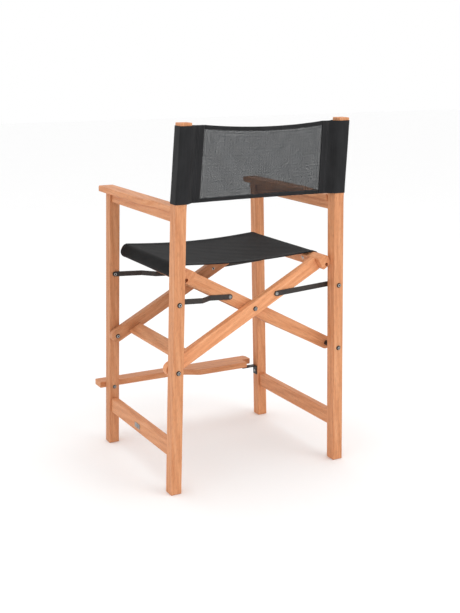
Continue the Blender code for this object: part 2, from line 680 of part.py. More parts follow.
def build_cross_bolts():
    bolt_y("rear_cross_bolt", 0.0, CROSS_HEIGHT, OUTER_REAR_BAR[1], 1, INNER_REAR_BAR[0] + BOLT_COVER)
    bolt_y("front_cross_bolt", 0.0, CROSS_HEIGHT, INNER_FRONT_BAR[1], 1, OUTER_FRONT_BAR[0] + BOLT_COVER)


# ---------------------------------------------------------------- footrest
def build_footrest():
    """A board in front of the legs that swings up about the left leg's bolt."""
    rear = FRONT - FOOTREST_GAP
    front = rear - FOOTREST_NARROW
    wide = front + FOOTREST_WIDE
    right = FOOTREST_RIGHT_SETBACK - HALF
    left = HALF + FOOTREST_LEFT_OVERHANG
    notch = right + FOOTREST_NOTCH
    outline = [(left, front), (left, rear), (FOOTREST_FLARE[0], rear),
               (FOOTREST_FLARE[1], wide), (notch, wide), (notch, rear), (right, rear - FOOTREST_REAR_CHAMFER),
               (right, front + FOOTREST_END_CHAMFER), (right + FOOTREST_FRONT_CHAMFER, front)]
    bm = prism(outline, FOOTREST_TOP - FOOTREST_THICKNESS, FOOTREST_TOP,
               lambda point, z: Vector((point[0], point[1], z)))
    board = add_part("footrest_board", soften(bm, EDGE_ROUND, 30.0), "hardwood")
    x, z = FOOTREST_PIVOT
    drill_y(board, x, z, front - OVERSHOOT, rear + OVERSHOOT, "pivot")
    counterbore = rod_y(x, z, front - OVERSHOOT, front + HEAD_HEIGHT + GAP, HEAD_RADIUS + HOLE_CLEARANCE)
    cut(board, counterbore, "footrest_board_head_cutter")
    set_origin(board, (x, (front + rear) / 2, z))
    bolt_y("footrest_bolt", x, z, FRONT_LEG_BACK, 1, front + HEAD_HEIGHT + GAP, FOOTREST_HEAD_RADIUS)
    build_bracket()


def build_bracket():
    """An angle bracket on the right leg that the board's free end rests on."""
    def face(z):
        return -(HALF - LEG_WIDTH - z * math.tan(LEAN)) + GAP
    low = BRACKET_TOP - BRACKET_DROP
    t = BRACKET_THICKNESS
    outline = [(face(BRACKET_TOP), BRACKET_TOP), (face(low), low), (face(low) + t, low),
               (face(BRACKET_TOP - t) + t, BRACKET_TOP - t),
               (face(BRACKET_TOP) + BRACKET_REACH, BRACKET_TOP - t),
               (face(BRACKET_TOP) + BRACKET_REACH, BRACKET_TOP)]
    ends = (BRACKET_MIDDLE - BRACKET_WIDTH / 2, BRACKET_MIDDLE + BRACKET_WIDTH / 2)
    bracket = add_part("footrest_bracket", prism(outline, *ends, world_prism_place()), "bright_steel")
    z = BRACKET_SCREW_HEIGHT
    hole = prism(circle(SHANK_RADIUS, 16, (BRACKET_MIDDLE, z)), face(z) - OVERSHOOT, face(z) + OVERSHOOT,
                 lambda point, x: Vector((x, point[0], point[1])))
    cut(bracket, hole, "footrest_bracket_cutter")
    profile = [(SHANK_RADIUS - HOLE_CLEARANCE, face(z) - BRACKET_SCREW_DEPTH),
               (SHANK_RADIUS - HOLE_CLEARANCE, face(z) + t + GAP), (BRACKET_HEAD_RADIUS, face(z) + t + GAP),
               (BRACKET_HEAD_TOP_RADIUS, face(z) + t + GAP + BRACKET_HEAD_HEIGHT)]
    rings = [[Vector((x, *point)) for point in circle(radius, 16, (BRACKET_MIDDLE, z))]
             for radius, x in profile]
    add_part("bracket_screw", loft(rings), "bright_steel")


# ---------------------------------------------------------------- slings
def seat_path(side_count=9):
    """Middle line of the seat cloth as (x, z), from the left rail's groove to the right one's."""
    offset = SLING_THICKNESS / 2 + GAP
    centre = SEAT_RAIL_REACH + SEAT_RAIL_WIDTH / 2 - SEAT_RAIL_ROUND
    r = SEAT_RAIL_ROUND + offset
    upright = 90 - math.degrees(BAR_ANGLE)
    local = arc((centre, SEAT_RAIL_ROUND - HALF_BAR), r, -90, 0, side_count)
    local += arc((centre, HALF_BAR - SEAT_RAIL_ROUND), r, 0, upright, side_count)
    place = bar_place(-1)
    wrap = [(p.x, p.z) for p in (place(a, b, 0) for a, b in local)]
    edge_x, edge_z = wrap[-1]
    count = 12
    span = []
    for i in range(1, count):
        x = edge_x * (1 - 2 * i / count)
        span.append((x, edge_z - SEAT_SAG * (1 - (x / edge_x) ** 2)))
    return wrap + span + [(-x, z) for x, z in reversed(wrap)]


def ribbon(path, thickness):
    """The outline of a strip of even thickness along a path."""
    left, right = [], []
    for i, (x, z) in enumerate(path):
        ax, az = path[max(i - 1, 0)]
        bx, bz = path[min(i + 1, len(path) - 1)]
        size = math.hypot(bx - ax, bz - az)
        nx, nz = -(bz - az) / size, (bx - ax) / size
        left.append((x + nx * thickness / 2, z + nz * thickness / 2))
        right.append((x - nx * thickness / 2, z - nz * thickness / 2))
    return left + right[::-1]


def build_seat_sling():
    path = seat_path()
    outline = ribbon(path, SLING_THICKNESS)
    count = len(path)
    rings = []
    for i in range(count):
        a, b = outline[i], outline[2 * count - 1 - i]
        rings.append([Vector((a[0], SLING_FRONT, a[1])), Vector((b[0], SLING_FRONT, b[1])),
                      Vector((b[0], SLING_BACK, b[1])), Vector((a[0], SLING_BACK, a[1]))])
    add_part("seat_sling", loft(rings), "cloth", 60.0)


def build_sling_rod(side):
    """The rod that holds the cloth's edge in the rail's groove."""
    spot = bar_place(-side)(SEAT_RAIL_REACH + GROOVE_OFFSET, GROOVE_DEPTH - HALF_BAR, 0)
    rod = rod_y(spot.x, spot.z, SLING_FRONT, SLING_BACK, ROD_RADIUS, 12)
    add_part(f"sling_rod_{side_name(side)}", rod, "rod_plastic")


def sleeve_outline():
    """Cloth around a post with a doubled flap towards the middle, as (inset, y)."""
    out = GAP + SLING_THICKNESS
    middle = POST_MIDDLE
    half = FLAP_THICKNESS / 2
    inner = LEG_WIDTH + out
    return [(-out, POST_FRONT - out), (inner, POST_FRONT - out), (inner, middle - half),
            (inner + BACK_FLAP, middle - half), (inner + BACK_FLAP, middle + half),
            (inner, middle + half), (inner, BACK + out), (-out, BACK + out)]


def build_back(side):
    """One sleeve and one half of the back panel."""
    where = side_name(side)
    place = raked_place(side)
    sleeve = add_part(f"back_sleeve_{where}", prism(sleeve_outline(), BACK_BOTTOM, BACK_TOP,
                      lambda point, z: place(point[0], point[1], z)), "cloth")
    low = (-GAP, POST_FRONT - GAP)
    high = (LEG_WIDTH + GAP, BACK + GAP)
    corners = [low, (high[0], low[1]), high, (low[0], high[1])]
    hollow = prism(corners, BACK_BOTTOM - OVERSHOOT, BACK_TOP + OVERSHOOT,
                   lambda point, z: place(point[0], point[1], z))
    cut(sleeve, hollow, f"back_sleeve_{where}_cutter")
    middle = POST_MIDDLE
    half = SLING_THICKNESS / 2
    start = LEG_WIDTH + 2 * GAP + SLING_THICKNESS + BACK_FLAP
    rings = []
    for z in (BACK_BOTTOM, BACK_TOP):
        near = place(start, middle - half, z)
        rings.append([near, place(start, middle + half, z),
                      Vector((side * GAP, near.y + 2 * half, z)), Vector((side * GAP, near.y, z))])
    panel = add_part(f"back_panel_{where}", loft(rings), "cloth")
    set_origin(panel, place(LEG_WIDTH + GAP, middle, BACK_BOTTOM))


def build_badge():
    """A small plain plate on the left stretcher's outer face."""
    z = STRETCHER_BOTTOM + BADGE_RISE
    low = (RAIL_INSET - GAP - BADGE_THICKNESS, BADGE_CENTRE - BADGE_WIDTH / 2, z - BADGE_HEIGHT / 2)
    high = (RAIL_INSET - GAP, BADGE_CENTRE + BADGE_WIDTH / 2, z + BADGE_HEIGHT / 2)
    add_part("badge_plate", box(low, high, frame_place(1)), "bright_steel")


def clear_scene():
    for old in list(bpy.data.objects):
        bpy.data.objects.remove(old, do_unlink=True)


def build_crosses():
    """Pair A pivots on the left frame and carries the right rail; pair B is its mirror, inside it."""
    pairs = (("a", 1, OUTER_FRONT_BAR, OUTER_REAR_BAR), ("b", -1, INNER_FRONT_BAR, INNER_REAR_BAR))
    for pair, side, front_layer, rear_layer in pairs:
        # Cross dowels open towards the back on pair B and towards the middle on pair A.
        rear_face = 1 if side < 0 else -1
        for end_name, layer, face in (("front", front_layer, 1), ("rear", rear_layer, rear_face)):
            build_bar(f"{end_name}_bar_{pair}", side, layer, face)
            build_nut(f"{end_name}_cross_dowel_{pair}", side, layer, face)
            build_rail_bolt(f"{end_name}_rail_bolt_{pair}", side, layer)
        build_seat_rail(side, (front_layer, rear_layer))
        build_slat(side)


def centre_on_floor():
    """Shift everything so that the origin is the middle of the chair's box, at the floor."""
    parts = [o for o in bpy.data.objects if not o.hide_render]
    corners = [o.location + v.co for o in parts for v in o.data.vertices]
    middle = Vector([(min(c[i] for c in corners) + max(c[i] for c in corners)) / 2 for i in range(3)])
    middle.z = 0.0
    for item in bpy.data.objects:
        item.location -= middle


def build_chair():
    for side in (1, -1):
        build_frame(side)
        build_pivots(side)
        build_links(side)
        build_sling_rod(side)
        build_back(side)
    build_crosses()
    build_cross_bolts()
    build_footrest()
    build_seat_sling()
    build_badge()
    centre_on_floor()


clear_scene()
MATERIALS = {name: make_material(name) for name in FINISHES}
build_chair()
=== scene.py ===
"""Looks of the folding director chair: wood grain, woven cloth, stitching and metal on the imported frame."""
import json
import math

import bmesh
import bpy
from mathutils import Matrix, Vector


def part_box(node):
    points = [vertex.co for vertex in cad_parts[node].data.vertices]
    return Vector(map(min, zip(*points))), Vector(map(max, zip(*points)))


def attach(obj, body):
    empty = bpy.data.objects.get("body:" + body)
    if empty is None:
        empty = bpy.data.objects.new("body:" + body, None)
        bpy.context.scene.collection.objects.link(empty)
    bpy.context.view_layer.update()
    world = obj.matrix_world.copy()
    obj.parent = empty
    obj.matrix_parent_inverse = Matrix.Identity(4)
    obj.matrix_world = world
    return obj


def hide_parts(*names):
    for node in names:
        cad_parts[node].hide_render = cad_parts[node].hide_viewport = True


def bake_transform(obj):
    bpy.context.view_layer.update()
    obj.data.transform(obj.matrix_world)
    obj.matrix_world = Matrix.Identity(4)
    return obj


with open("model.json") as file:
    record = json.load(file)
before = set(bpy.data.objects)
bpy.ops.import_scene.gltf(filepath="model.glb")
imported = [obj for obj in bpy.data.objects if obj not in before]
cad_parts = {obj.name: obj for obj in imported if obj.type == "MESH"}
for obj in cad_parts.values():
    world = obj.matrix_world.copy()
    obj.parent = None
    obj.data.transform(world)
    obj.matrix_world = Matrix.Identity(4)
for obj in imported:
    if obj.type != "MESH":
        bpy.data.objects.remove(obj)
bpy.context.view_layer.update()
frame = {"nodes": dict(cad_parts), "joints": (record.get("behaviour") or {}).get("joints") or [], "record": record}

# ---------------------------------------------------------------- sizes repeated from the design (metres)
LEAN = math.radians(1.6)
LEG_WIDTH = 0.032
POST_DEPTH = 0.035
RAKE = math.radians(6.0)
RAKE_BELOW_ARM = 0.022
RAKE_BLEND = 0.026
BAR_HEIGHT = 0.038
RAIL_WIDTH = 0.032
RAIL_ROUND = 0.015
RAIL_CLEARANCE = 0.0011

# ---------------------------------------------------------------- cloth
CLOTH = 0.0011             # thickness of the woven cloth
OPEN_CLOTH = 0.00025       # one layer between the hems, thin so that its holes line up through it
HEM = 0.011                # folded edge of the back
HEM_EXTRA = 0.0009         # a folded edge is this much thicker
HEM_STITCH_COLUMN = 3      # the grid line that carries a hem's stitches, counted from the edge
SEAT_HEM = 0.016           # folded edge of the seat
SEAT_SAG = 0.011           # dip of the seat at the middle
SEAT_DRAW_IN = 0.0035      # how far its front and back edges pull in between the rails
SEAT_EDGE_LIFT = 0.0016    # how far those edges rise above the cloth between them
SEAT_EDGE_WIDTH = 0.05     # the width over which they do
SEAT_RIPPLE = 0.0004
SEAT_SETTLE = 0.12         # distance from a groove over which these come in fully
SEAT_STRIPS = 30           # even strips from front to back, between the hems
SEAT_SPAN_STEPS = 60       # steps along the dip from rail to rail
SEAT_STEP = 0.0055         # spacing of the points once the whole section is evened out
RAIL_GAP = 0.0005          # between the cloth and the rail it wraps
BACK_SAG = 0.011           # how much further the top edge sinks at the middle than the bottom edge
BACK_RISE = 0.002          # how far the bottom edge rises there
BACK_BELLY = 0.006         # the panel bows to the rear
BACK_RIPPLE = 0.0007
BACK_ROWS = 18             # even strips from bottom to top, between the hems
BACK_STRIPS = 25           # strips from a post's flap to the middle
SEAM_EDGE = 0.0006         # close-woven edge where the two halves meet
POCKET = 0.025             # from the post to the stitched end of its sleeve
FLAP = 0.045               # from the post to the end of the doubled cloth
SLEEVE_GAP = 0.0006        # between the sleeve and its post
LAYER_GAP = 0.00025        # room on each side of the middle line between the flap's two layers
FLAP_STITCH_LIFT = 0.0006  # a stitch's centre from the flap's middle line, past one cloth's thickness
SLEEVE_CORNER = 0.0030
SLEEVE_STEP = 0.0042       # spacing of the points round the sleeve
SLEEVE_SLACK = 0.0009
STITCH = 0.0032            # one stitch and its gap
STITCH_LENGTH = 0.0022
STITCH_RADIUS = 0.00035
STITCH_PROUD = 0.3         # share of its radius by which a stitch's centre clears a hem's face
WEAVE_PITCH = 0.0021       # between neighbouring yarns
YARN_UNEVEN = 0.022        # how much single yarns vary, as a share of the weave's wave
YARN_GROUP = 4             # yarns in one repeat of the weave's faint lattice
GROUP_DEPTH = 0.050        # how much the lattice opens and closes the weave
OPEN_SHARE = 0.400         # share of the pitch left open between yarns, each way

# ---------------------------------------------------------------- places read from the frame
joint_at = {j["name"]: Vector(j["pos_m"]) for j in frame["joints"]}
post_low, post_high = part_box("rear_post_left")
MIDDLE_X = joint_at["cross"].x
HALF = post_high.x - MIDDLE_X
POST_FRONT = post_low.y
POST_BACK = POST_FRONT + POST_DEPTH
POST_MIDDLE = POST_FRONT + POST_DEPTH / 2
CROSS_HEIGHT = joint_at["cross"].z
PIVOT_HEIGHT = joint_at["fold"].z
PIVOT_X = joint_at["fold"].x - MIDDLE_X
BAR_ANGLE = math.atan2(CROSS_HEIGHT - PIVOT_HEIGHT, PIVOT_X)
CROSS_REACH = math.hypot(PIVOT_X, CROSS_HEIGHT - PIVOT_HEIGHT)
ARM_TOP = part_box("arm_board_left")[1].z
BACK_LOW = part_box("back_panel_left")[0].z
BACK_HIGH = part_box("back_panel_left")[1].z
SEAT_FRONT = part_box("seat_sling")[0].y
SEAT_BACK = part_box("seat_sling")[1].y
HALF_BAR = BAR_HEIGHT / 2
RAIL_HALF = (RAIL_ROUND + (RAIL_WIDTH / 2 - RAIL_ROUND) * math.cos(BAR_ANGLE)
             + (HALF_BAR - RAIL_ROUND) * math.sin(BAR_ANGLE))
RAIL_CENTRE = ((HALF - LEG_WIDTH - CROSS_HEIGHT * math.tan(LEAN) - RAIL_HALF - RAIL_CLEARANCE)
               / (1 + math.tan(BAR_ANGLE) * math.tan(LEAN)))
RAIL_REACH = CROSS_REACH + RAIL_CENTRE / math.cos(BAR_ANGLE)


def rake_offset(z):
    """How far the raked post has moved back at a height."""
    rise = z - (ARM_TOP - RAKE_BELOW_ARM)
    if rise <= 0:
        return 0.0
    if rise < RAKE_BLEND:
        return math.tan(RAKE) * rise * rise / (2 * RAKE_BLEND)
    return math.tan(RAKE) * (rise - RAKE_BLEND / 2)


def post_place(side, inset, y, z):
    """A point beside a leaning, raked post; inset is measured from its outer face."""
    x = side * (HALF - inset - z * math.tan(LEAN))
    return Vector((MIDDLE_X + x, y + rake_offset(z), z))


def bar_point(side, along, across):
    """A point in a bar's own directions: along it from its lower pivot, and square to it."""
    x = side * (PIVOT_X - along * math.cos(BAR_ANGLE) + across * math.sin(BAR_ANGLE))
    return MIDDLE_X + x, PIVOT_HEIGHT + along * math.sin(BAR_ANGLE) + across * math.cos(BAR_ANGLE)


# ---------------------------------------------------------------- material helpers
class Graph:
    """A material's node tree, with short calls to add nodes."""

    def __init__(self, name):
        self.material = bpy.data.materials.new(name)
        self.material.use_nodes = True
        self.nodes = self.material.node_tree.nodes
        self.links = self.material.node_tree.links
        self.shader = self.nodes["Principled BSDF"]

    def put(self, value, socket):
        if isinstance(value, bpy.types.NodeSocket):
            self.links.new(value, socket)
        else:
            socket.default_value = value

    def add(self, kind, inputs, output=0, **settings):
        made = self.nodes.new(kind)
        for key, value in settings.items():
            setattr(made, key, value)
        for key, value in inputs.items():
            self.put(value, made.inputs[key])
        return made.outputs[output]

    def math(self, operation, a, b=0.0, c=0.0):
        return self.add("ShaderNodeMath", {0: a, 1: b, 2: c}, operation=operation)

    def weighted(self, parts, base=0.0):
        """The base plus each value times its share."""
        total = base
        for value, share in parts:
            total = self.math("MULTIPLY_ADD", value, share, total)
        return total

    def noise(self, vector, scale, detail=3.0, roughness=0.5):
        inputs = {"Vector": vector, "Scale": scale, "Detail": detail, "Roughness": roughness}
        return self.add("ShaderNodeTexNoise", inputs)

    def scaled(self, vector, factors):
        return self.add("ShaderNodeVectorMath", {0: vector, 1: factors}, operation="MULTIPLY")

    def span(self, value, low, high, to_low=0.0, to_high=1.0):
        inputs = {0: value, 1: low, 2: high, 3: to_low, 4: to_high}
        return self.add("ShaderNodeMapRange", inputs)

    def ramp(self, value, stops):
        made = self.nodes.new("ShaderNodeValToRGB")
        elements = made.color_ramp.elements
        for element, (position, colour) in zip(elements, (stops[0], stops[-1])):
            element.position = position
            element.color = (*colour, 1.0)
        for position, colour in stops[1:-1]:
            elements.new(position).color = (*colour, 1.0)
        self.put(value, made.inputs[0])
        return made.outputs[0]

    def mix(self, share, a, b, blend="MIX"):
        made = self.nodes.new("ShaderNodeMix")
        made.data_type = "RGBA"
        made.blend_type = blend
        for value, socket in ((share, made.inputs[0]), (a, made.inputs[6]), (b, made.inputs[7])):
            self.put((*value, 1.0) if isinstance(value, tuple) else value, socket)
        return made.outputs[2]

    def bump(self, height, distance, strength=1.0):
        inputs = {"Height": height, "Distance": distance, "Strength": strength}
        self.put(self.add("ShaderNodeBump", inputs), self.shader.inputs["Normal"])

    def surface(self, **inputs):
        for key, value in inputs.items():
            self.put(value, self.shader.inputs[key.replace("_", " ")])
        return self.material


# Detail per metre along the grain (first) and across it.
DRIFT_GRAIN = (2.0, 9.0, 9.0)
FIGURE_GRAIN = (1.3, 75.0, 75.0)
STREAK_GRAIN = (9.0, 420.0, 420.0)
PORE_GRAIN = (55.0, 1500.0, 1500.0)
RING_GRAIN = (0.10, 1.0, 0.85)
# Shares of each in the wood's light and dark, and the colours from dark to light.
WOOD_BASE = 0.20
DRIFT_SHARE = 0.15
FIGURE_SHARE = 0.38
RING_SHARE = 0.09
STREAK_SHARE = 0.27
WOOD_COLOURS = [(0.34, (0.37, 0.124, 0.047)), (0.50, (0.545, 0.216, 0.092)),
                (0.64, (0.665, 0.290, 0.134)), (0.80, (0.77, 0.39, 0.205))]
PORE_COLOUR = (0.20, 0.072, 0.030)
PORE_SHARE = 0.42
PORE_DEPTH = 0.6           # of a pore, against the relief of the streaks
WOOD_RELIEF = 0.00022


def wood(name, turn, seed, tone):
    """Oiled hardwood. turn lays the grain on local X, seed moves the figure, tone multiplies the colour: painted
    light above 1 and painted shade below 1 on this piece.
    """
    g = Graph(name)
    place = g.nodes.new("ShaderNodeTexCoord").outputs["Object"]
    spread = (seed * 0.37, seed * 0.21, seed * 0.53)
    place = g.add("ShaderNodeMapping", {"Vector": place, "Rotation": turn, "Location": spread})
    drift = g.noise(g.scaled(place, DRIFT_GRAIN), 3.0, 2.0)
    figure = g.noise(g.scaled(place, FIGURE_GRAIN), 2.6, 4.0, 0.60)
    streaks = g.noise(g.scaled(place, STREAK_GRAIN), 1.6, 3.0, 0.6)
    pores = g.noise(g.scaled(place, PORE_GRAIN), 1.0, 2.0, 0.5)
    wave = {"Vector": g.scaled(place, RING_GRAIN), "Scale": 34.0, "Distortion": 5.5, "Detail": 2.0,
            "Detail Scale": 0.9}
    rings = g.add("ShaderNodeTexWave", wave, wave_type="BANDS", bands_direction="DIAGONAL", output=1)
    shares = [(figure, FIGURE_SHARE), (drift, DRIFT_SHARE), (rings, RING_SHARE), (streaks, STREAK_SHARE)]
    colour = g.ramp(g.weighted(shares, WOOD_BASE), WOOD_COLOURS)
    dark_pores = g.span(pores, 0.33, 0.47, 1.0, 0.0)
    colour = g.mix(g.math("MULTIPLY", dark_pores, PORE_SHARE), colour, PORE_COLOUR)
    # Times the tone, which paints light and shade on this piece, with a slight warm cast.
    colour = g.mix(1.0, colour, (tone, tone * 0.985, tone * 0.965), "MULTIPLY")
    g.bump(g.math("SUBTRACT", streaks, g.math("MULTIPLY", dark_pores, PORE_DEPTH)), WOOD_RELIEF, 0.55)
    return g.surface(Base_Color=colour, Roughness=g.span(streaks, 0.3, 0.7, 0.46, 0.60),
                     Specular_IOR_Level=0.30)


# Detail per metre across and along the cloth.
FIBRE_GRAIN = (1500.0, 1500.0, 1.0)
PATCH_GRAIN = (26.0, 14.0, 1.0)
SLUB_GRAIN = (480.0, 12.0, 1.0)
UNEVEN_GRAIN = (400.0, 9.0, 1.0)
# Shares of each in the cloth's light and dark, and the greys at its two ends.
PATCH_SHARE = 0.50
SLUB_SHARE = 0.28
FIBRE_SHARE = 0.22
WEAVE_SHARE = 0.10
YARN_DARK = 0.007
YARN_LIGHT = 0.019
CLOTH_RELIEF = 0.00030


def cloth(name, is_open, tone=1.0, gloss=0.18, tint=(1.0, 1.01, 1.08)):
    """Plain-woven coated yarn, laid out on the piece's own cloth directions in metres."""
    g = Graph(name)
    spot = g.nodes.new("ShaderNodeUVMap")
    spot.uv_map = "cloth"
    split = g.nodes.new("ShaderNodeSeparateXYZ")
    g.links.new(spot.outputs[0], split.inputs[0])
    turns = math.pi / WEAVE_PITCH
    warp = g.math("SINE", g.math("MULTIPLY", split.outputs[0], turns))
    weft = g.math("SINE", g.math("MULTIPLY", split.outputs[1], turns))
    over = g.math("MULTIPLY", warp, weft)
    fibre = g.noise(g.scaled(spot.outputs[0], FIBRE_GRAIN), 1.0, 2.0)
    patch = g.noise(g.scaled(spot.outputs[0], PATCH_GRAIN), 1.0, 4.0, 0.6)
    slub = g.noise(g.scaled(spot.outputs[0], SLUB_GRAIN), 1.0, 2.0)
    shares = [(patch, PATCH_SHARE), (slub, SLUB_SHARE), (fibre, FIBRE_SHARE), (over, WEAVE_SHARE)]
    low = tuple(YARN_DARK * tone * part for part in tint)
    high = tuple(YARN_LIGHT * tone * part for part in tint)
    colour = g.mix(g.span(g.weighted(shares), 0.34, 0.70), low, high)
    g.bump(g.weighted([(over, 0.7), (fibre, 0.4)]), CLOTH_RELIEF, 0.7)
    values = {"Base_Color": colour, "Roughness": g.span(fibre, 0.3, 0.7, 0.62, 0.80),
              "Specular_IOR_Level": gloss, "Sheen_Weight": 0.03, "Sheen_Roughness": 0.45}
    if is_open:
        edge = math.cos(OPEN_SHARE * math.pi / 2)
        gaps = []
        for axis, wave in ((0, warp), (1, weft)):
            across, along, flat = UNEVEN_GRAIN
            stretch = (along, across, flat) if axis else UNEVEN_GRAIN
            uneven = g.noise(g.scaled(spot.outputs[0], stretch), 1.0, 2.0)
            lattice = g.math("SINE", g.math("MULTIPLY", split.outputs[axis], 2 * turns / YARN_GROUP))
            limit = g.math("MULTIPLY_ADD", lattice, GROUP_DEPTH, edge)
            limit = g.math("ADD", limit, g.span(uneven, 0.3, 0.7, -YARN_UNEVEN, YARN_UNEVEN))
            gaps.append(g.math("GREATER_THAN", g.math("ABSOLUTE", wave), limit))
        values["Alpha"] = g.math("SUBTRACT", 1.0, g.math("MULTIPLY", *gaps))
    return g.surface(**values)


def thread():
    g = Graph("thread")
    place = g.nodes.new("ShaderNodeTexCoord").outputs["Object"]
    twist = g.noise(place, 2600.0, 2.0)
    g.bump(twist, 0.00008)
    colour = g.mix(twist, (0.030, 0.030, 0.032), (0.085, 0.085, 0.090))
    return g.surface(Base_Color=colour, Roughness=0.55)


def steel(name, dark, light, metallic, roughness):
    """Plated or painted steel with fine scratches and slight blotches."""
    g = Graph(name)
    place = g.nodes.new("ShaderNodeTexCoord").outputs["Object"]
    blotch = g.noise(place, 130.0, 4.0, 0.6)
    scratch = g.noise(g.scaled(place, (3000.0, 240.0, 900.0)), 1.0, 2.0)
    g.bump(g.math("ADD", g.math("MULTIPLY", scratch, 0.6), blotch), 0.00006, 0.6)
    colour = g.mix(g.span(blotch, 0.32, 0.68), dark, light)
    rough = g.math("ADD", g.span(scratch, 0.3, 0.7, roughness - 0.05, roughness + 0.06),
                   g.math("MULTIPLY", blotch, 0.04))
    return g.surface(Base_Color=colour, Roughness=rough, Metallic=metallic)


def plastic(name):
    g = Graph(name)
    place = g.nodes.new("ShaderNodeTexCoord").outputs["Object"]
    grain = g.noise(place, 900.0, 3.0)
    g.bump(grain, 0.00005)
    return g.surface(Base_Color=g.mix(grain, (0.020, 0.020, 0.021), (0.042, 0.042, 0.044)),
                     Roughness=g.span(grain, 0.3, 0.7, 0.42, 0.56))


# ---------------------------------------------------------------- finish of the CAD pieces
UPRIGHT = (0.0, math.radians(90), 0.0)
FRONT_TO_BACK = (0.0, 0.0, math.radians(90))
ACROSS = (0.0, 0.0, 0.0)


def grain_turn(node):
    """The rotation that lays the grain along a wooden piece."""
    if node.startswith(("front_leg", "rear_post")):
        return UPRIGHT
    if node.startswith(("front_bar", "rear_bar")):
        return (0.0, -BAR_ANGLE if node.endswith("_a") else BAR_ANGLE, 0.0)
    if node == "footrest_board":
        return ACROSS
    return FRONT_TO_BACK


# Colour multipliers for single wooden pieces: painted shade on pieces turned away from the light, such as the
# rear-facing front bars and the front left leg, and painted light on brightly lit ones, such as rear bar a and the
# right seat rail.
PAINTED_LIGHT_AND_SHADE_TONES = {"front_bar_a": 0.84, "front_bar_b": 0.74, "front_leg_left": 0.88, "seat_rail_right": 1.08,
         "rear_bar_a": 1.17, "rear_bar_b": 1.02, "cross_slat_right": 0.92, "footrest_board": 0.94}


def finish_cad():
    slots = {s["node"]: s["material_slot"] for s in frame["record"]["subparts"]}
    metals = {
        "bright_steel": steel("bright_steel", (0.17, 0.17, 0.17), (0.40, 0.40, 0.39), 1.0, 0.30),
        "black_steel": steel("black_steel", (0.010, 0.008, 0.007), (0.032, 0.022, 0.018), 0.0, 0.48),
        "rod_plastic": plastic("rod_plastic"),
    }
    bolts = steel("bolt_steel", (0.022, 0.021, 0.021), (0.070, 0.069, 0.068), 0.9, 0.38)
    for count, (node, piece) in enumerate(sorted(frame["nodes"].items())):
        kind = slots[node]
        if kind == "hardwood":
            finish = wood(f"wood_{node}", grain_turn(node), count + 1.0, PAINTED_LIGHT_AND_SHADE_TONES.get(node, 1.0))
        elif "bolt" in node or node == "footrest_bracket":
            finish = bolts
        elif kind in metals:
            finish = metals[kind]
        else:
            continue
        piece.data.materials.clear()
        piece.data.materials.append(finish)


# ---------------------------------------------------------------- building cloth
def arc(centre, radius, start, end, count):
    turns = [math.radians(start + (end - start) * i / (count - 1)) for i in range(count)]
    return [(centre[0] + radius * math.cos(t), centre[1] + radius * math.sin(t)) for t in turns]


def lengths(points):
    """Running length along a list of points."""
    total, found = 0.0, [0.0]
    for a, b in zip(points, points[1:]):
        total += (b - a).length
        found.append(total)
    return found


def resample(points, step):
    """The same path with points at an even spacing."""
    along = lengths(points)
    count = max(2, round(along[-1] / step) + 1)
    found, at = [], 0
    for i in range(count):
        want = along[-1] * i / (count - 1)
        while at < len(points) - 2 and along[at + 1] < want:
            at += 1
        gap = along[at + 1] - along[at]
        share = (want - along[at]) / gap if gap > 0 else 0.0
        found.append(points[at].lerp(points[at + 1], min(share, 1.0)))
    return found


def sheet_normals(grid):
    rows, columns = len(grid), len(grid[0])
    found = []
    for i in range(rows):
        row = []
        for j in range(columns):
            du = grid[min(i + 1, rows - 1)][j] - grid[max(i - 1, 0)][j]
            dv = grid[i][min(j + 1, columns - 1)] - grid[i][max(j - 1, 0)]
            row.append(du.cross(dv).normalized())
        found.append(row)
    return found


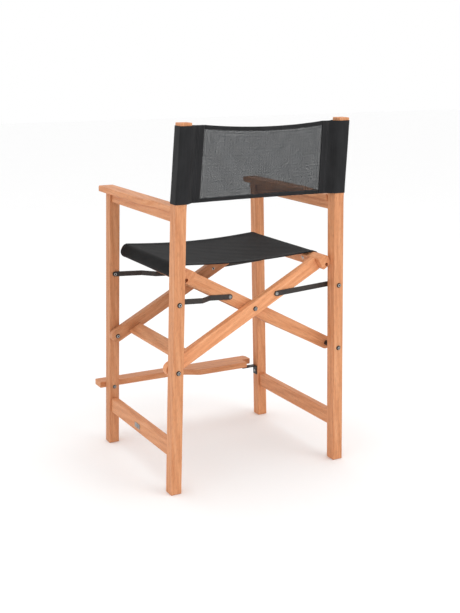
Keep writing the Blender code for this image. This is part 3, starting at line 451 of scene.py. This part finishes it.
class Cloth:
    """A piece of cloth under construction: its sheet, folded edges and stitches in one mesh."""

    def __init__(self, name, materials):
        self.name = name
        self.bm = bmesh.new()
        self.uv = self.bm.loops.layers.uv.new("cloth")
        self.materials = materials

    def face(self, corners, spots, index):
        made = self.bm.faces.new(corners)
        made.smooth = True
        made.material_index = index
        for loop, spot in zip(made.loops, spots):
            loop[self.uv].uv = spot

    def sheet(self, grid, thickness, kind):
        """Two skins and their rim. thickness and kind are functions of the row and column."""
        rows, columns = len(grid), len(grid[0])
        normals = sheet_normals(grid)
        u = lengths([row[columns // 2] for row in grid])
        v = lengths(grid[rows // 2])
        skins = []
        for sign in (1, -1):
            skin = []
            for i in range(rows):
                offsets = [normals[i][j] * (sign * thickness(i, j) / 2) for j in range(columns)]
                skin.append([self.bm.verts.new(grid[i][j] + offsets[j]) for j in range(columns)])
            skins.append(skin)
        for sign, skin in zip((1, -1), skins):
            for i in range(rows - 1):
                for j in range(columns - 1):
                    cells = [(i, j), (i + 1, j), (i + 1, j + 1), (i, j + 1)][::sign]
                    self.face([skin[a][b] for a, b in cells], [(u[a], v[b]) for a, b in cells], kind(i, j))
        rim = [(i, 0) for i in range(rows)]
        rim += [(rows - 1, j) for j in range(1, columns)]
        rim += [(i, columns - 1) for i in range(rows - 2, -1, -1)]
        rim += [(0, j) for j in range(columns - 2, 0, -1)]
        front, rear = skins
        for (i, j), (m, n) in zip(rim, rim[1:] + rim[:1]):
            corners = [front[i][j], rear[i][j], rear[m][n], front[m][n]]
            self.face(corners, [(u[i], v[j])] * 2 + [(u[m], v[n])] * 2, 0)

    def stitches(self, points, normals, index):
        """A row of short raised threads along a path on the cloth."""
        along = lengths(points)
        for n in range(int(along[-1] / STITCH)):
            centre_at = (n + 0.5) * STITCH
            at = max(k for k in range(len(along) - 1) if along[k] <= centre_at)
            share = (centre_at - along[at]) / (along[at + 1] - along[at])
            centre = points[at].lerp(points[at + 1], share)
            run = (points[at + 1] - points[at]).normalized()
            out = normals[at].normalized()
            wide = run.cross(out).normalized()
            self.stitch(centre, run, out, wide, index)

    def stitch(self, centre, run, out, wide, index):
        rings, sides = [], 5
        for share, size in ((-0.5, 0.45), (-0.3, 1.0), (0.3, 1.0), (0.5, 0.45)):
            ring = []
            for k in range(sides):
                turn = 2 * math.pi * k / sides
                offset = (wide * math.cos(turn) + out * math.sin(turn)) * STITCH_RADIUS * size
                ring.append(self.bm.verts.new(centre + run * STITCH_LENGTH * share + offset))
            rings.append(ring)
        for a, b in zip(rings, rings[1:]):
            for k in range(sides):
                self.face([a[k], a[(k + 1) % sides], b[(k + 1) % sides], b[k]], [(0, 0)] * 4, index)
        self.face(rings[0][::-1], [(0, 0)] * sides, index)
        self.face(rings[-1], [(0, 0)] * sides, index)

    def finish(self):
        bmesh.ops.recalc_face_normals(self.bm, faces=self.bm.faces)
        mesh = bpy.data.meshes.new(self.name)
        self.bm.to_mesh(mesh)
        self.bm.free()
        for material in self.materials:
            mesh.materials.append(material)
        made = bpy.data.objects.new(self.name, mesh)
        bpy.context.scene.collection.objects.link(made)
        return made


def smooth_step(share):
    share = min(max(share, 0.0), 1.0)
    return share * share * (3 - 2 * share)


# ---------------------------------------------------------------- seat
def seat_section():
    """The seat cloth's middle line as (x, z), from the right rail's groove to the left one's."""
    offset = CLOTH / 2 + RAIL_GAP
    centre = RAIL_REACH + RAIL_WIDTH / 2 - RAIL_ROUND
    r = RAIL_ROUND + offset
    local = [(RAIL_REACH + 0.002, -HALF_BAR - offset)]
    local += arc((centre, RAIL_ROUND - HALF_BAR), r, -90, 0, 10)
    local += arc((centre, HALF_BAR - RAIL_ROUND), r, 0, 90 - math.degrees(BAR_ANGLE), 10)
    wrap = [bar_point(1, a, b) for a, b in local]
    edge = wrap[-1][0] - MIDDLE_X
    span = []
    for i in range(1, SEAT_SPAN_STEPS):
        share = 1 - 2 * i / SEAT_SPAN_STEPS
        span.append((MIDDLE_X + edge * share, wrap[-1][1] - SEAT_SAG * (1 - share * share)))
    return wrap + span + [(2 * MIDDLE_X - x, z) for x, z in reversed(wrap)]


def build_seat(solid, sewing):
    section = resample([Vector((x, 0, z)) for x, z in seat_section()], SEAT_STEP)
    along = lengths(section)
    total = along[-1]
    depth = SEAT_BACK - SEAT_FRONT
    edges = [0.0, 0.0015, 0.004, SEAT_HEM - 0.001, SEAT_HEM + 0.001, SEAT_HEM + 0.012]
    even = (depth - 2 * edges[-1]) / SEAT_STRIPS
    inner = [edges[-1] + even * i for i in range(1, SEAT_STRIPS)]
    stations = edges + inner + [depth - e for e in reversed(edges)]
    grid = []
    for point, at in zip(section, along):
        middle = smooth_step(min(at, total - at) / SEAT_SETTLE)
        row = []
        for station in stations:
            end = min(station, depth - station)
            draw_in = SEAT_DRAW_IN * middle * (1 - end / (depth / 2))
            y = SEAT_FRONT + station + (draw_in if station < depth / 2 else -draw_in)
            edge_lift = SEAT_EDGE_LIFT * middle * (1 - smooth_step(end / SEAT_EDGE_WIDTH))
            ripple = SEAT_RIPPLE * math.sin(at * 90 + station * 23) * math.sin(station * 61) * middle
            row.append(Vector((point.x, y, point.z + edge_lift + ripple)))
        grid.append(row)
    made = Cloth("seat_cloth", [solid, sewing])

    def thickness(i, j):
        return CLOTH + (HEM_EXTRA if min(stations[j], depth - stations[j]) < SEAT_HEM else 0.0)
    made.sheet(grid, thickness, lambda i, j: 0)
    normals = sheet_normals(grid)
    for column in (HEM_STITCH_COLUMN, len(stations) - 1 - HEM_STITCH_COLUMN):
        up = []
        for line, row in zip(normals, grid):
            outward = row[column] - Vector((MIDDLE_X, row[column].y, CROSS_HEIGHT))
            up.append(line[column] if line[column].dot(outward) > 0 else -line[column])
        lift = (CLOTH + HEM_EXTRA) / 2 + STITCH_RADIUS * STITCH_PROUD
        made.stitches([row[column] + n * lift for row, n in zip(grid, up)], up, 1)
    seat = made.finish()
    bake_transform(seat)
    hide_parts("seat_sling")


# ---------------------------------------------------------------- back
def back_heights():
    """Rows of the back cloth from bottom to top: fine at the hems."""
    hem = [0.0, 0.0012, 0.003, HEM - 0.0008, HEM + 0.0008, HEM + 0.007]
    height = BACK_HIGH - BACK_LOW
    even = (height - 2 * hem[-1]) / BACK_ROWS
    inner = [hem[-1] + even * i for i in range(1, BACK_ROWS)]
    return [BACK_LOW + h for h in hem + inner] + [BACK_HIGH - h for h in reversed(hem)]


def is_hem(z):
    return min(z - BACK_LOW, BACK_HIGH - z) < HEM


def drape(z, share):
    """The height of a row at a share of the way from a post's flap (0) to the middle (1)."""
    bend = 1 - (1 - share) ** 2
    return z + BACK_RISE * bend - BACK_SAG * bend * smooth_step((z - BACK_LOW) / (BACK_HIGH - BACK_LOW))


def build_back_half(side, name, open_cloth, solid, sewing):
    """Half of the back panel, from the end of its flap to the middle of the chair."""
    heights = back_heights()
    start_inset = LEG_WIDTH + FLAP
    shares = [i / BACK_STRIPS for i in range(BACK_STRIPS)] + [1 - SEAM_EDGE / HALF, 1.0]
    last_strip = len(shares) - 2
    grid = []
    for share in shares:
        row = []
        for z in heights:
            near = post_place(side, start_inset, POST_MIDDLE, z)
            x = near.x + (MIDDLE_X - near.x) * share
            belly = BACK_BELLY * (1 - (1 - share) ** 2)
            ripple = BACK_RIPPLE * math.sin(z * 55 + side) * math.sin(share * 17 + z * 9)
            ripple *= 4 * share * (1 - share)
            row.append(Vector((x, near.y + belly + ripple, drape(z, share))))
        grid.append(row)
    made = Cloth(name, [solid, open_cloth, sewing])

    def thickness(i, j):
        return CLOTH + HEM_EXTRA if is_hem(heights[j]) else OPEN_CLOTH

    def kind(i, j):
        return 0 if i == last_strip or is_hem((heights[j] + heights[j + 1]) / 2) else 1
    made.sheet(grid, thickness, kind)
    normals = sheet_normals(grid)
    for column in (HEM_STITCH_COLUMN, len(heights) - 1 - HEM_STITCH_COLUMN):
        for sign in (1, -1):
            faces = [n[column] * sign * (1 if n[column].y > 0 else -1) for n in normals]
            lift = (CLOTH + HEM_EXTRA) / 2 + STITCH_RADIUS * STITCH_PROUD
            path = [row[column] + n * lift for row, n in zip(grid, faces)]
            made.stitches(path, faces, 2)
    panel = made.finish()
    label = "left" if side > 0 else "right"
    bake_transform(panel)
    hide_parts(f"back_panel_{label}")


def sleeve_section():
    """Cloth round the post as (inset, y): out along the rear layer, round the post and back in front."""
    out = CLOTH / 2 + SLEEVE_GAP
    half = CLOTH / 2 + LAYER_GAP
    corner = SLEEVE_CORNER
    stitched = LEG_WIDTH + POCKET
    rear = POST_BACK + out
    front = POST_FRONT - out
    outer = -out
    points = [(LEG_WIDTH + FLAP, POST_MIDDLE + half), (stitched, POST_MIDDLE + half)]
    steps = 9
    for i in range(1, steps + 1):
        share = i / steps
        points.append((stitched + (LEG_WIDTH - corner - stitched) * share,
                       POST_MIDDLE + half + (rear - POST_MIDDLE - half) * smooth_step(share)))
    points += arc((outer + corner, rear - corner), corner, 90, 180, 6)
    points += arc((outer + corner, front + corner), corner, 180, 270, 6)
    for i in range(steps + 1):
        share = i / steps
        points.append((LEG_WIDTH - corner + (stitched - LEG_WIDTH + corner) * share,
                       front + (POST_MIDDLE - half - front) * smooth_step(share)))
    points.append((LEG_WIDTH + FLAP, POST_MIDDLE - half))
    return points


def build_sleeve(side, name, solid, sewing):
    heights = back_heights()
    flat_points = resample([Vector((a, b, 0)) for a, b in sleeve_section()], SLEEVE_STEP)
    grid = []
    for index, point in enumerate(flat_points):
        loose = SLEEVE_SLACK * math.sin(index * 0.83)
        row = []
        for z in heights:
            slack = loose * math.sin((z - BACK_LOW) * 38 + index * 0.31)
            beyond = max(point.x - LEG_WIDTH - 0.003, 0) / POCKET
            slack *= 0.35 + 0.65 * min(beyond, 1.0) if beyond < 1.0 else 0.0
            row.append(post_place(side, point.x, point.y + slack, z))
        grid.append(row)
    made = Cloth(name, [solid, sewing])

    def thickness(i, j):
        return CLOTH + (HEM_EXTRA * 0.5 if is_hem(heights[j]) else 0.0)
    made.sheet(grid, thickness, lambda i, j: 0)
    for inset in (LEG_WIDTH + POCKET, LEG_WIDTH + POCKET + 0.004, LEG_WIDTH + FLAP - 0.003):
        for sign in (1, -1):
            y = POST_MIDDLE + sign * (CLOTH + FLAP_STITCH_LIFT)
            path = [post_place(side, inset, y, z) for z in heights]
            made.stitches(path, [Vector((0, sign, 0))] * len(path), 1)
    sleeve = made.finish()
    label = "left" if side > 0 else "right"
    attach(sleeve, f"{label}_frame")
    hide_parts(f"back_sleeve_{label}")
    around = lengths(flat_points)[-1]


# ---------------------------------------------------------------- small fasteners
# Turned profiles as (radius, height) from the face that each stands on.
DOME = [(0.0056, 0.0), (0.0056, 0.0006), (0.0050, 0.0016), (0.0034, 0.0022), (0.0018, 0.0023),
        (0.0017, 0.0010)]
CAP = [(0.0054, 0.0), (0.0052, 0.0005), (0.0045, 0.0010), (0.0033, 0.0013), (0.0027, 0.0013),
       (0.0025, 0.0003)]
TAIL = [(0.0046, 0.0), (0.0046, 0.0004), (0.0040, 0.0010), (0.0026, 0.0013), (0.0012, 0.0014)]
TURNED_SIDES = 28
SHARP = math.radians(38)
RAIL_SCREW_FROM_BACK = 0.035
RAIL_SCREW_ACROSS = 0.006  # off the rail's centre line, towards its top


def turned(name, profile, centre, axis, material, body):
    """A turned fastener: profile is (radius, height) along the axis from its seat."""
    bm = bmesh.new()
    rings = []
    for radius, height in profile:
        ring = []
        for k in range(TURNED_SIDES):
            turn = 2 * math.pi * k / TURNED_SIDES
            ring.append(bm.verts.new((radius * math.cos(turn), radius * math.sin(turn), height)))
        rings.append(ring)
    for a, b in zip(rings, rings[1:]):
        for k in range(TURNED_SIDES):
            after = (k + 1) % TURNED_SIDES
            bm.faces.new([a[k], a[after], b[after], b[k]])
    bm.faces.new(rings[0][::-1])
    bm.faces.new(rings[-1])
    bmesh.ops.recalc_face_normals(bm, faces=bm.faces)
    mesh = bpy.data.meshes.new(name)
    bm.to_mesh(mesh)
    bm.free()
    mesh.materials.append(material)
    mesh.shade_smooth()
    mesh.set_sharp_from_angle(angle=SHARP)
    made = bpy.data.objects.new(name, mesh)
    made.matrix_world = Matrix.Translation(centre) @ axis.to_track_quat("Z", "Y").to_matrix().to_4x4()
    bpy.context.scene.collection.objects.link(made)
    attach(made, body)


def cap_steel_painted_highlight_shade():
    """A bright band painted on the dome as its highlight, round a socket darkened as painted shade in its recess,
    with a rim darkened as painted shadow where the cap sits: rings about each cap's own axis.
    """
    g = Graph("cap_steel_painted_highlight_shade")
    place = g.nodes.new("ShaderNodeTexCoord").outputs["Object"]
    flat = g.scaled(place, (1.0, 1.0, 0.0))
    radius = g.add("ShaderNodeVectorMath", {0: flat}, output=1, operation="LENGTH")
    wear = g.noise(place, 700.0, 3.0)
    radius = g.math("ADD", radius, g.span(wear, 0.3, 0.7, -0.0003, 0.0003))
    # From the axis out: painted shade in the socket, a painted highlight on the dome, then painted shadow at the
    # rim.
    stops = [(0.0, (0.012, 0.012, 0.012)), (0.48, (0.016, 0.016, 0.016)), (0.55, (0.66, 0.66, 0.65)),
             (0.70, (0.52, 0.52, 0.51)), (0.84, (0.035, 0.035, 0.035))]
    g.bump(wear, 0.00005)
    return g.surface(Base_Color=g.ramp(g.math("DIVIDE", radius, CAP[0][0]), stops), Metallic=0.9,
                     Roughness=g.span(wear, 0.3, 0.7, 0.26, 0.40))


def build_bolt_caps(metal):
    """A socketed dome on the rear end of each bolt outside the rails, and the links' rivet tails."""
    for body, members in frame["record"]["behaviour"]["bodies"].items():
        for node in members:
            if "bolt" not in node or "rail" in node:
                continue
            low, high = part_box(node)
            centre = Vector(((low.x + high.x) / 2, high.y, (low.z + high.z) / 2))
            turned(f"{node}_cap", CAP, centre, Vector((0, 1, 0)), metal, body)
    for end, facing in (("front", 1), ("rear", -1)):
        for label, bar in (("left", "b"), ("right", "a")):
            low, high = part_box(f"{end}_link_rivet_{label}")
            bar_low, bar_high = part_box(f"{end}_bar_{bar}")
            y = bar_high.y if facing > 0 else bar_low.y
            centre = Vector(((low.x + high.x) / 2, y, (low.z + high.z) / 2))
            out = Vector((0, facing, 0))
            turned(f"{end}_rivet_tail_{label}", TAIL, centre, out, metal, f"x_frame_{bar}")


def build_rail_screws(metal):
    """A domed screw on the inner face of each seat rail."""
    for side, body in ((1, "x_frame_b"), (-1, "x_frame_a")):
        x, z = bar_point(-side, RAIL_REACH - RAIL_WIDTH / 2, RAIL_SCREW_ACROSS)
        centre = Vector((x, SEAT_BACK - RAIL_SCREW_FROM_BACK, z))
        out = Vector((-side * math.cos(BAR_ANGLE), 0, -math.sin(BAR_ANGLE)))
        label = "left" if side > 0 else "right"
        turned(f"rail_screw_{label}", DOME, centre, out, metal, body)


# ---------------------------------------------------------------- floor, light and camera
CAMERA_AT = (1.413, 2.642, 1.2085)
CAMERA_TOWARDS = (-0.1293, -0.1608, 0.4037)
CAMERA_ROLL = math.radians(0.206)
CAMERA_LENS = 60.31
SENSOR_WIDTH = 36.0
FLOOR_REACH = 14.0         # from the middle of the floor to its edge
FLOOR_DROP = 0.0008        # keeps the floor from touching the feet
LIGHTS_AIM = 0.55          # height at which the lamps point


def build_stage():
    g = Graph("floor")
    place = g.nodes.new("ShaderNodeTexCoord").outputs["Object"]
    speck = g.noise(place, 3.0, 2.0)
    pale = g.surface(Base_Color=g.mix(speck, (0.975, 0.975, 0.975), (0.985, 0.985, 0.985)), Roughness=0.9,
                     Specular_IOR_Level=0.1)
    bm = bmesh.new()
    bmesh.ops.create_grid(bm, x_segments=2, y_segments=2, size=FLOOR_REACH)
    mesh = bpy.data.meshes.new("floor")
    bm.to_mesh(mesh)
    bm.free()
    mesh.materials.append(pale)
    floor = bpy.data.objects.new("floor", mesh)
    floor.location.z = -FLOOR_DROP
    bpy.context.scene.collection.objects.link(floor)
    world = bpy.data.worlds.new("studio")
    bpy.context.scene.world = world
    world.use_nodes = True
    background = world.node_tree.nodes["Background"]
    background.inputs[0].default_value = (1.0, 1.0, 1.0, 1.0)
    background.inputs[1].default_value = 1.0
    bpy.context.scene.view_settings.view_transform = "Standard"


def area_light(name, at, towards, size, power):
    data = bpy.data.lights.new(name, "AREA")
    data.shape = "SQUARE"
    data.size = size
    data.energy = power
    lamp = bpy.data.objects.new(name, data)
    lamp.location = at
    lamp.rotation_euler = (Vector(towards) - Vector(at)).to_track_quat("-Z", "Y").to_euler()
    bpy.context.scene.collection.objects.link(lamp)


def build_lights():
    centre = (MIDDLE_X, 0.0, LIGHTS_AIM)
    area_light("key", (-1.9, 3.0, 2.7), centre, 2.2, 26.0)
    area_light("fill", (3.2, 1.4, 1.7), centre, 2.6, 5.0)
    area_light("top", (0.2, -0.6, 3.6), centre, 3.0, 12.0)


def build_camera():
    data = bpy.data.cameras.new("camera")
    data.lens = CAMERA_LENS
    data.sensor_width = SENSOR_WIDTH
    camera = bpy.data.objects.new("camera", data)
    at = Vector(CAMERA_AT)
    aim = (Vector(CAMERA_TOWARDS) - at).to_track_quat("-Z", "Y").to_matrix()
    camera.matrix_world = Matrix.Translation(at) @ (aim @ Matrix.Rotation(CAMERA_ROLL, 3, "Z")).to_4x4()
    bpy.context.scene.collection.objects.link(camera)
    bpy.context.scene.camera = camera


# ---------------------------------------------------------------- everything
finish_cad()
# One cloth in three copies of different tone: the seat's copy is darkened, with less gloss, as painted shade
# against the light its top catches; the copy for the sleeves and hems and the copy for the open back are lighter.
solid_cloth = cloth("cloth_solid", False, 1.35)
seat_cloth = cloth("cloth_seat_painted_shade", False, 0.72, 0.08)
open_cloth = cloth("cloth_open", True, 1.25, tint=(0.84, 1.04, 1.16))
sewing = thread()
for side, label in ((1, "left"), (-1, "right")):
    build_sleeve(side, f"back_sleeve_cloth_{label}", solid_cloth, sewing)
    build_back_half(side, f"back_cloth_{label}", open_cloth, solid_cloth, sewing)
build_seat(seat_cloth, sewing)
build_rail_screws(bpy.data.materials["bright_steel"])
build_bolt_caps(cap_steel_painted_highlight_shade())
build_stage()
build_lights()
build_camera()
